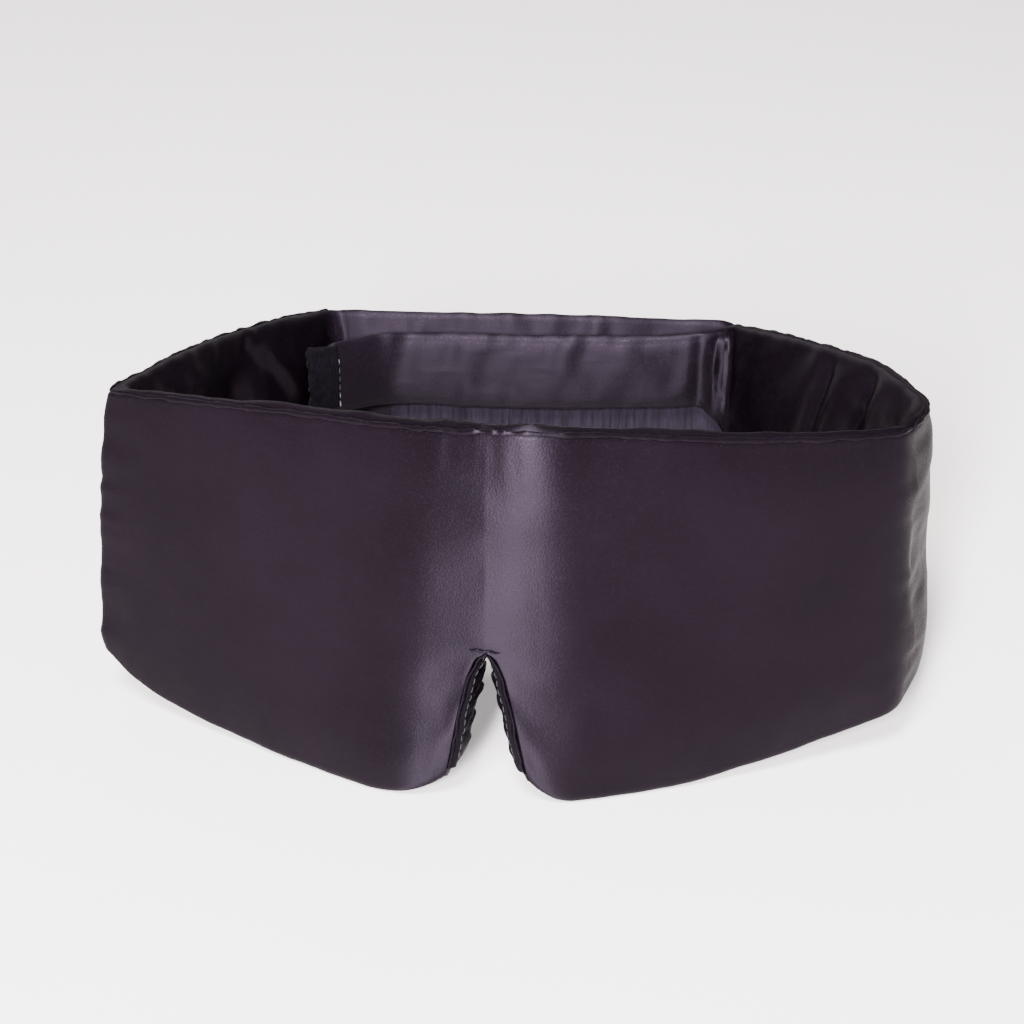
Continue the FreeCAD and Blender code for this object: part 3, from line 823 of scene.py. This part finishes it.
SATIN = satin("satin", (0.0014, 0.0007, 0.0014), (0.0024, 0.0013, 0.0025))
# painted light: the straps get a lighter copy of the satin's colour, standing in for the light that
# falls on them; its roughness and stretch are real
STRAP_SATIN_PAINTED_LIGHT = satin("strap_satin_painted_light", (0.0020, 0.0011, 0.0021), (0.0032, 0.0019, 0.0035),
                    0.54, 0.10, 0.80)
# painted shade: the nose facings and the bar tack get a dimmer copy of the satin, with half its gloss,
# standing in for the shade down the sides of the notch
FACING_PAINTED_SHADE = satin("satin_facing", (0.0014, 0.0009, 0.0016), (0.0026, 0.0018, 0.0030),
               0.46, 0.045)
PILE = matt_cloth("loop_pile", (0.0062, 0.0042, 0.0080), (0.0112, 0.0080, 0.0140),
                  (900.0, 900.0, 90.0))
NYLON = matt_cloth("hook_nylon", (0.0050, 0.0045, 0.0060), (0.0095, 0.0085, 0.0110),
                   (1300.0, 1300.0, 1300.0), 0.6, 0.04)
TAB = matt_cloth("tab_webbing", (0.0010, 0.0007, 0.0012), (0.0020, 0.0014, 0.0024),
                 (1500.0, 1500.0, 500.0), 0.95, 0.01, 0.02)
THREAD = matt_cloth("thread", (0.0060, 0.0048, 0.0075), (0.0120, 0.0100, 0.0145),
                    (3000.0, 3000.0, 3000.0), 0.5, 0.05)
PALE_THREAD = matt_cloth("pale_thread", (0.060, 0.055, 0.070), (0.110, 0.105, 0.125),
                         (3000.0, 3000.0, 3000.0), 0.5, 0.05)


def finish_piece(obj, material):
    obj.data.materials.clear()
    obj.data.materials.append(material)
    return obj


# -------------------------------------------------------------------------- padded pieces

front = strip_object("front_pad", band, LEFT_TEMPLE, RIGHT_TEMPLE)
left_wing = strip_object("left_wing_pad", band, LEFT_REAR, LEFT_TEMPLE)
right_wing = strip_object("right_wing_pad", band, RIGHT_TEMPLE, RIGHT_REAR)
loop_root = strip_object("loop_strap_root_pad", band, LOOP_PEEL, LEFT_REAR)
loop_free = strip_object("loop_strap_pad", band, LOOP_END, LOOP_PEEL, free_start=1.2)
hook_root = strip_object("hook_strap_root_pad", band, RIGHT_REAR, HOOK_PEEL)
hook_free = strip_object("hook_strap_pad", band, HOOK_PEEL, HOOK_END, free_stop=1.0)
for piece in (front, left_wing, right_wing):
    finish_piece(piece, SATIN)
for piece in (loop_root, loop_free, hook_root, hook_free):
    finish_piece(piece, STRAP_SATIN_PAINTED_LIGHT)

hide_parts("front_satin_shell", "front_wadding", "front_blackout_sheet", "front_satin_lining",
            "front_top_seam")
for side, piece in (("left", left_wing), ("right", right_wing)):
    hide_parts(f"{side}_wing_satin_shell", f"{side}_wing_wadding",
                f"{side}_wing_satin_lining", f"{side}_wing_top_seam")
for strap, root, free in (("loop", loop_root, loop_free), ("hook", hook_root, hook_free)):
    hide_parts(*[f"{strap}_strap_root_{part}" for part in ("shell", "wadding", "lining")])
    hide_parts(*[f"{strap}_strap_free_{part}" for part in ("shell", "wadding", "lining")])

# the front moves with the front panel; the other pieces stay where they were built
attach(front, "front_panel")
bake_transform(left_wing)
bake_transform(right_wing)
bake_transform(loop_root)
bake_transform(loop_free)
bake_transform(hook_root)
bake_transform(hook_free)

# ------------------------------------------------------------------ thin pieces and threads


def grid_normals(grid):
    n = np.cross(np.gradient(grid, axis=0), np.gradient(grid, axis=1))
    return n / (np.linalg.norm(n, axis=-1, keepdims=True) + 1e-12)


def thin_piece(name, grid, thickness, outward):
    """A closed thin sheet over a grid of points, rounded at its edges."""
    normal = grid_normals(grid)
    if np.mean(normal @ np.array(outward, float)) < 0:
        grid = grid[::-1]
        normal = grid_normals(grid)
    rows, cols = grid.shape[:2]
    edge = np.minimum(np.minimum(np.arange(rows), np.arange(rows)[::-1])[:, None],
                      np.minimum(np.arange(cols), np.arange(cols)[::-1])[None, :])
    half = 0.5 * thickness * np.where(edge == 0, 0.45, np.where(edge == 1, 0.85, 1.0))
    over = grid + normal * half[..., None]
    under = grid - normal * half[..., None]
    index = np.arange(rows * cols).reshape(rows, cols)
    faces = []
    for shift, flip in ((0, False), (rows * cols, True)):
        for a, b, c, d in zip(index[:-1, :-1].ravel(), index[1:, :-1].ravel(),
                              index[1:, 1:].ravel(), index[:-1, 1:].ravel()):
            quad = (int(a + shift), int(b + shift), int(c + shift), int(d + shift))
            faces.append(quad[::-1] if flip else quad)
    ring = np.concatenate((index[0, :], index[1:, -1], index[-1, -2::-1], index[-2:0:-1, 0]))
    for a, b in zip(ring, np.roll(ring, -1)):
        faces.append((int(a), int(b), int(b + rows * cols), int(a + rows * cols)))
    return make_object(name, np.concatenate((over.reshape(-1, 3), under.reshape(-1, 3))), faces)


def tube_points(path, radii, sides):
    """Rings of points round a path."""
    path = np.asarray(path, float)
    along_path = np.gradient(path, axis=0)
    along_path /= np.linalg.norm(along_path, axis=1, keepdims=True) + 1e-12
    up = np.array((0.0, 0.0, 1.0)) if abs(along_path[:, 2]).mean() < 0.8 else np.array((0.0, 1.0, 0.0))
    side = np.cross(along_path, up)
    side /= np.linalg.norm(side, axis=1, keepdims=True) + 1e-12
    lift = np.cross(side, along_path)
    turn = np.linspace(0.0, 2 * math.pi, sides, endpoint=False)
    across = np.cos(turn)[None, :, None] * side[:, None]
    over = np.sin(turn)[None, :, None] * lift[:, None]
    return path[:, None] + np.asarray(radii)[:, None, None] * (across + over)


def tubes(name, runs, sides):
    """One object holding a closed tube for each (path, radii)."""
    points, faces = [], []
    for path, radii in runs:
        rings = tube_points(path, radii, sides)
        base = len(points)
        points.extend(rings.reshape(-1, 3))
        count = len(rings)
        for k in range(count - 1):
            for i in range(sides):
                j = (i + 1) % sides
                faces.append((base + k * sides + i, base + k * sides + j,
                              base + (k + 1) * sides + j, base + (k + 1) * sides + i))
        faces.append(tuple(base + i for i in range(sides))[::-1])
        faces.append(tuple(base + (count - 1) * sides + i for i in range(sides)))
    return make_object(name, points, faces)


def stitches(name, path, radius, length, gap, lift):
    """A row of short threads that dip into the cloth at their ends."""
    path, lift = np.asarray(path, float), np.asarray(lift, float)
    run = np.concatenate(([0.0], np.cumsum(np.linalg.norm(np.diff(path, axis=0), axis=1))))
    runs = []
    at = 0.0
    while at + length < run[-1]:
        share = np.linspace(0.0, 1.0, 6)
        spots = np.array([np.interp(at + share * length, run, path[:, c]) for c in range(3)]).T
        bow = np.sin(np.pi * share)
        spots = spots + lift * (bow[:, None] * 0.8 - 0.25) * radius
        runs.append((spots, radius * (0.55 + 0.45 * bow)))
        at += length + gap
    return tubes(name, runs, 6)


def row_at(strip, lining, z, columns):
    """Points where the satin or lining of the given columns is at height z."""
    n, r = strip.section.face, strip.section.rim
    rows = slice(n + r, 2 * n + r) if lining else slice(0, n)
    found = []
    normal = strip.normals()
    for part, k in columns:
        p = strip.p[part][k, rows]
        m = normal[part][k, rows]
        order = np.argsort(p[:, 2])
        height = z if np.isscalar(z) else z[len(found)]
        spot = [np.interp(height, p[order, 2], p[order, c]) for c in range(3)]
        way = [np.interp(height, p[order, 2], m[order, c]) for c in range(3)]
        found.append((spot, way))
    return np.array([f[0] for f in found]), np.array([f[1] for f in found])


def columns_between(strip, start, stop):
    picked = []
    for part in (0, 1):
        for k, q in enumerate(strip.q[part]):
            doubled = part == 1 and k == 0
            if start <= q <= stop and not doubled:
                picked.append((part, k))
    return picked


def face_grid(strip, lining, start, stop, low, high, rows, lift, rounding=0.0, round_end=None):
    """A grid on one face of the strip, lifted off it, from height low to high."""
    columns = columns_between(strip, start, stop)
    at = np.array([arc_at(strip.q[part][k]) for part, k in columns])
    middle, half = 0.5 * (low + high), 0.5 * (high - low)
    size = np.ones(len(columns))
    if round_end is not None:
        gap = np.clip(np.abs(at - arc_at(round_end)) / rounding, 0.0, 1.0)
        size = np.maximum(1.0 - (rounding / half) * (1.0 - np.sqrt(1.0 - (1.0 - gap) ** 2)), 0.2)
    lines = []
    for share in np.linspace(-1.0, 1.0, rows):
        spots, ways = row_at(strip, lining, middle + half * share * size, columns)
        lines.append(spots + ways * lift)
    return np.array(lines), at


# nose facings: gathered strips down both padded sides of the notch
for side, part, column in (("left", 0, -1), ("right", 1, 0)):
    way = 1.0 if side == "left" else -1.0
    section = band.section
    line = band.p[part][column]
    face_edge = line[section.apex::-1]
    back_edge = line[[section.mirror(j) for j in range(section.apex, -1, -1)]]
    fine = np.linspace(0.0, section.apex, 130)
    face_edge = np.array([np.interp(fine, range(section.apex + 1), face_edge[:, c]) for c in range(3)]).T
    back_edge = np.array([np.interp(fine, range(section.apex + 1), back_edge[:, c]) for c in range(3)]).T
    share = np.linspace(-0.02, 1.08, 28)
    down = np.linspace(0.0, 1.0, 130)
    grid = face_edge[:, None] + (back_edge - face_edge)[:, None] * share[None, :, None]
    ease = np.clip(down / 0.12, 0.0, 1.0)[:, None]
    bulge = 0.8 * np.sqrt(np.clip(4 * share * (1.08 - share), 0.0, None))[None, :] * ease
    run = down * 45.0
    ripple = field(run[:, None] / 4.2 + share[None, :] * 0.5, share[None, :] * 1.6, 40 + part, 2)
    ripple = ripple * (0.34 + 0.70 * np.clip(share, 0.0, 1.1)[None, :] ** 1.5) * ease
    groove = -0.55 * np.exp(-((share - 0.09) / 0.05) ** 2) + 0.45 * np.exp(-((share - 0.22) / 0.07) ** 2)
    push = 0.35 + bulge + ripple + groove[None, :] * ease
    grid[..., 0] += way * push
    grid[..., 1] += 0.5 * ripple
    grid[..., 2] -= 0.4 * (1.0 - ease)
    facing = thin_piece(f"nose_facing_{side}_cloth", grid, 0.8, (way, -0.6, 0.0))
    finish_piece(facing, FACING_PAINTED_SHADE)
    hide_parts(f"nose_facing_{side}")
    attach(facing, "front_panel")
    seam = grid[4:-6, 5] + np.array((way * 0.45, -0.15, 0.0))
    row = stitches(f"nose_stitches_{side}_thread", seam, 0.15, 1.9, 0.6, (way, -0.3, 0.0))
    finish_piece(row, THREAD)
    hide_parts(f"nose_stitches_{side}")
    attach(row, "front_panel")

# bar tack closing the top of the notch
apex = band.p[0][-1, band.section.apex]
bar = []
for share in np.linspace(-1.0, 1.0, 25):
    bar.append((apex[0] + 0.3 + 4.4 * share, apex[1] - 0.15 + 0.25 * share ** 2,
                apex[2] + 0.7 - 0.35 * share + 0.12 * math.sin(9 * share)))
tack = tubes("nose_bar_tack_thread", [(bar, 0.32 * (1 - np.linspace(-1, 1, 25) ** 4) + 0.08)], 8)
finish_piece(tack, FACING_PAINTED_SHADE)
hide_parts("nose_bar_tack")
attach(tack, "front_panel")

# rolled seam along the top edge of the front and both wings
seam_row = band.section.face + 1
ways = band.normals()
for name, start, stop in (("front", LEFT_TEMPLE, RIGHT_TEMPLE),
                          ("left_wing", LEFT_REAR, LEFT_TEMPLE),
                          ("right_wing", RIGHT_TEMPLE, RIGHT_REAR)):
    columns = columns_between(band, start, stop)
    path = np.array([band.p[part][k, seam_row] + ways[part][k, seam_row] * 0.15 for part, k in columns])
    at = np.array([arc_at(band.q[part][k]) for part, k in columns])
    path[:, 2] += 0.25 * field(at / 5.0, at * 0.0, 51, 2)
    radii = 0.62 + 0.22 * field(at / 2.2, at * 0.0, 52, 2)
    radii = radii * np.clip(np.minimum(at - at[0], at[-1] - at) / 3.0, 0.05, 1.0) ** 0.5
    roll = tubes(f"{name}_rolled_seam", [(path, radii)], 10)
    finish_piece(roll, SATIN)
    if name == "front":
        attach(roll, "front_panel")
    elif name == "left_wing":
        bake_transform(roll)
    else:
        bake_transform(roll)

# loop patch on the lining side of the loop strap
grid, at = face_grid(band, True, PATCH_START, PATCH_STOP, PATCH_LOW, PATCH_HIGH, 60, 0.62,
                     PATCH_ROUNDING, PATCH_START)
high = grid[..., 2]
wander = 0.15 * field(at[None, :] / 9.0, high / 12.0, 61)
ruche = 0.30 * field(at[None, :] / 1.9 + wander, high / 30.0, 60, 2)
grid[..., 1] -= ruche + 0.15 * field(at[None, :] / 14.0, high / 16.0, 62)
patch = thin_piece("loop_patch_pile", grid, 1.0, (0, -1, 0))
finish_piece(patch, PILE)
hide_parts("loop_patch")
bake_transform(patch)
inset = 3
edge = np.concatenate((grid[-1 - inset, ::-1], grid[-1 - inset:inset:-1, 1], grid[inset, 1:]))
edge = edge + np.array((0.0, -0.55, 0.0))
sewn = stitches("loop_patch_thread", edge, 0.24, 2.1, 0.9, (0, -1, 0))
finish_piece(sewn, PALE_THREAD)
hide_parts("loop_patch_stitches")
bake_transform(sewn)

# hook tape on the satin side of the hook strap
grid, at = face_grid(band, False, TAPE_START, TAPE_STOP, TAPE_LOW, TAPE_HIGH, 20, 0.45)
tape = thin_piece("hook_tape_nylon", grid, 0.7, (0, 1, 0))
finish_piece(tape, NYLON)
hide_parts("hook_tape")
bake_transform(tape)

# pull tab beyond the end of the hook strap
tip_columns = columns_between(band, 11.9, HOOK_END)
spot, _ = row_at(band, True, 57.0, tip_columns[-1:])
reach = np.linspace(0.0, 1.0, TAB_COLUMNS)
rise = np.linspace(0.0, 1.0, TAB_ROWS)
root = spot[0] + np.array((2.6, 1.4, 0.0))
grid = np.empty((TAB_ROWS, TAB_COLUMNS, 3))
for i, up in enumerate(rise):
    for k, out in enumerate(reach):
        grid[i, k] = (root[0] - TAB_LENGTH * out + 0.5 * math.sin(3 * up),
                      root[1] - 4.6 * out + 0.8 * out * out,
                      TAB_FOOT + TAB_HEIGHT * up + 0.8 * out - 1.2 * (out > 0.97))
grid[..., 1] += 0.30 * field(grid[..., 0] / 2.0, grid[..., 2] / 3.0, 71, 2)
grid[:, -1, 0] += 0.5 * field(grid[:, -1, 2] / 1.6, grid[:, -1, 2] * 0.0, 72, 2)
tab = thin_piece("pull_tab_webbing", grid, 1.6, (0, -1, 0))
finish_piece(tab, TAB)
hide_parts("hook_pull_tab")
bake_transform(tab)

# stitches across the end of the hook strap
heights = np.linspace(48.5, 65.0, 40)
end_columns = columns_between(band, 11.80, 11.95)[:1] * 40
spots, ways = row_at(band, True, heights, end_columns)
sewn = stitches("hook_end_thread", spots + ways * 0.1, 0.24, 2.0, 0.8, ways.mean(0))
finish_piece(sewn, PALE_THREAD)
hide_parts("hook_strap_end_stitches")
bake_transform(sewn)

# ------------------------------------------------------------------------- camera and light
# looking down at the nose from a little to the right of the middle
aim = Vector((2.738, -72.547, 84.39)) * MM
azimuth, elevation, distance = math.radians(4.0), math.radians(29.0), 548.4 * MM
back = Vector((math.sin(azimuth) * math.cos(elevation),
               -math.cos(azimuth) * math.cos(elevation), math.sin(elevation)))
camera = bpy.data.objects.new("camera", bpy.data.cameras.new("camera"))
camera.data.sensor_width = 36.0
camera.data.lens = 79.1
camera.data.clip_start = 0.01
camera.location = aim + back * distance
camera.rotation_euler = (-back).to_track_quat("-Z", "Y").to_euler()
bpy.context.scene.collection.objects.link(camera)
bpy.context.scene.camera = camera


def area_light(name, azimuth, elevation, distance, width, height, power, colour):
    a, e = math.radians(azimuth), math.radians(elevation)
    middle = Vector((0.0, -0.03, 0.05))
    away = Vector((math.sin(a) * math.cos(e), -math.cos(a) * math.cos(e), math.sin(e)))
    data = bpy.data.lights.new(name, "AREA")
    data.shape = "RECTANGLE"
    data.size, data.size_y = width, height
    data.energy = power
    data.color = colour
    lamp = bpy.data.objects.new(name, data)
    lamp.location = middle + away * distance
    lamp.rotation_euler = (-away).to_track_quat("-Z", "Y").to_euler()
    bpy.context.scene.collection.objects.link(lamp)


area_light("key", -10.0, 58.0, 1.6, 0.34, 0.5, 78.0, (1.0, 0.985, 0.97))
area_light("top", 150.0, 70.0, 1.8, 1.6, 1.6, 12.0, (0.97, 0.98, 1.0))
area_light("side", 68.0, 30.0, 1.8, 0.9, 1.4, 5.0, (1.0, 0.98, 0.96))
area_light("rear", 200.0, 35.0, 1.9, 1.2, 1.0, 12.0, (1.0, 0.97, 0.95))
area_light("strip", -9.0, 27.0, 1.5, 0.20, 0.5, 126.0, (1.0, 0.97, 1.0))
world = bpy.data.worlds.new("room")
world.use_nodes = True
world.node_tree.nodes["Background"].inputs[0].default_value = (1.0, 0.985, 0.97, 1.0)
world.node_tree.nodes["Background"].inputs[1].default_value = 0.25
bpy.context.scene.world = world

floor = make_object("floor", [(-3000, -3000, 0), (3000, -3000, 0), (3000, 3000, 0),
                              (-3000, 3000, 0)], [(0, 1, 2, 3)])
material, tree, shader = nodes_of("pale_floor")
spot = tree.nodes.new("ShaderNodeTexCoord").outputs["Object"]
tree.links.new(blended(tree, noise_at(tree, spot, 9.0, 3.0), (0.88, 0.835, 0.825), (0.93, 0.885, 0.875)),
               shader.inputs["Base Color"])
shader.inputs["Roughness"].default_value = 0.9
floor.data.materials.append(material)
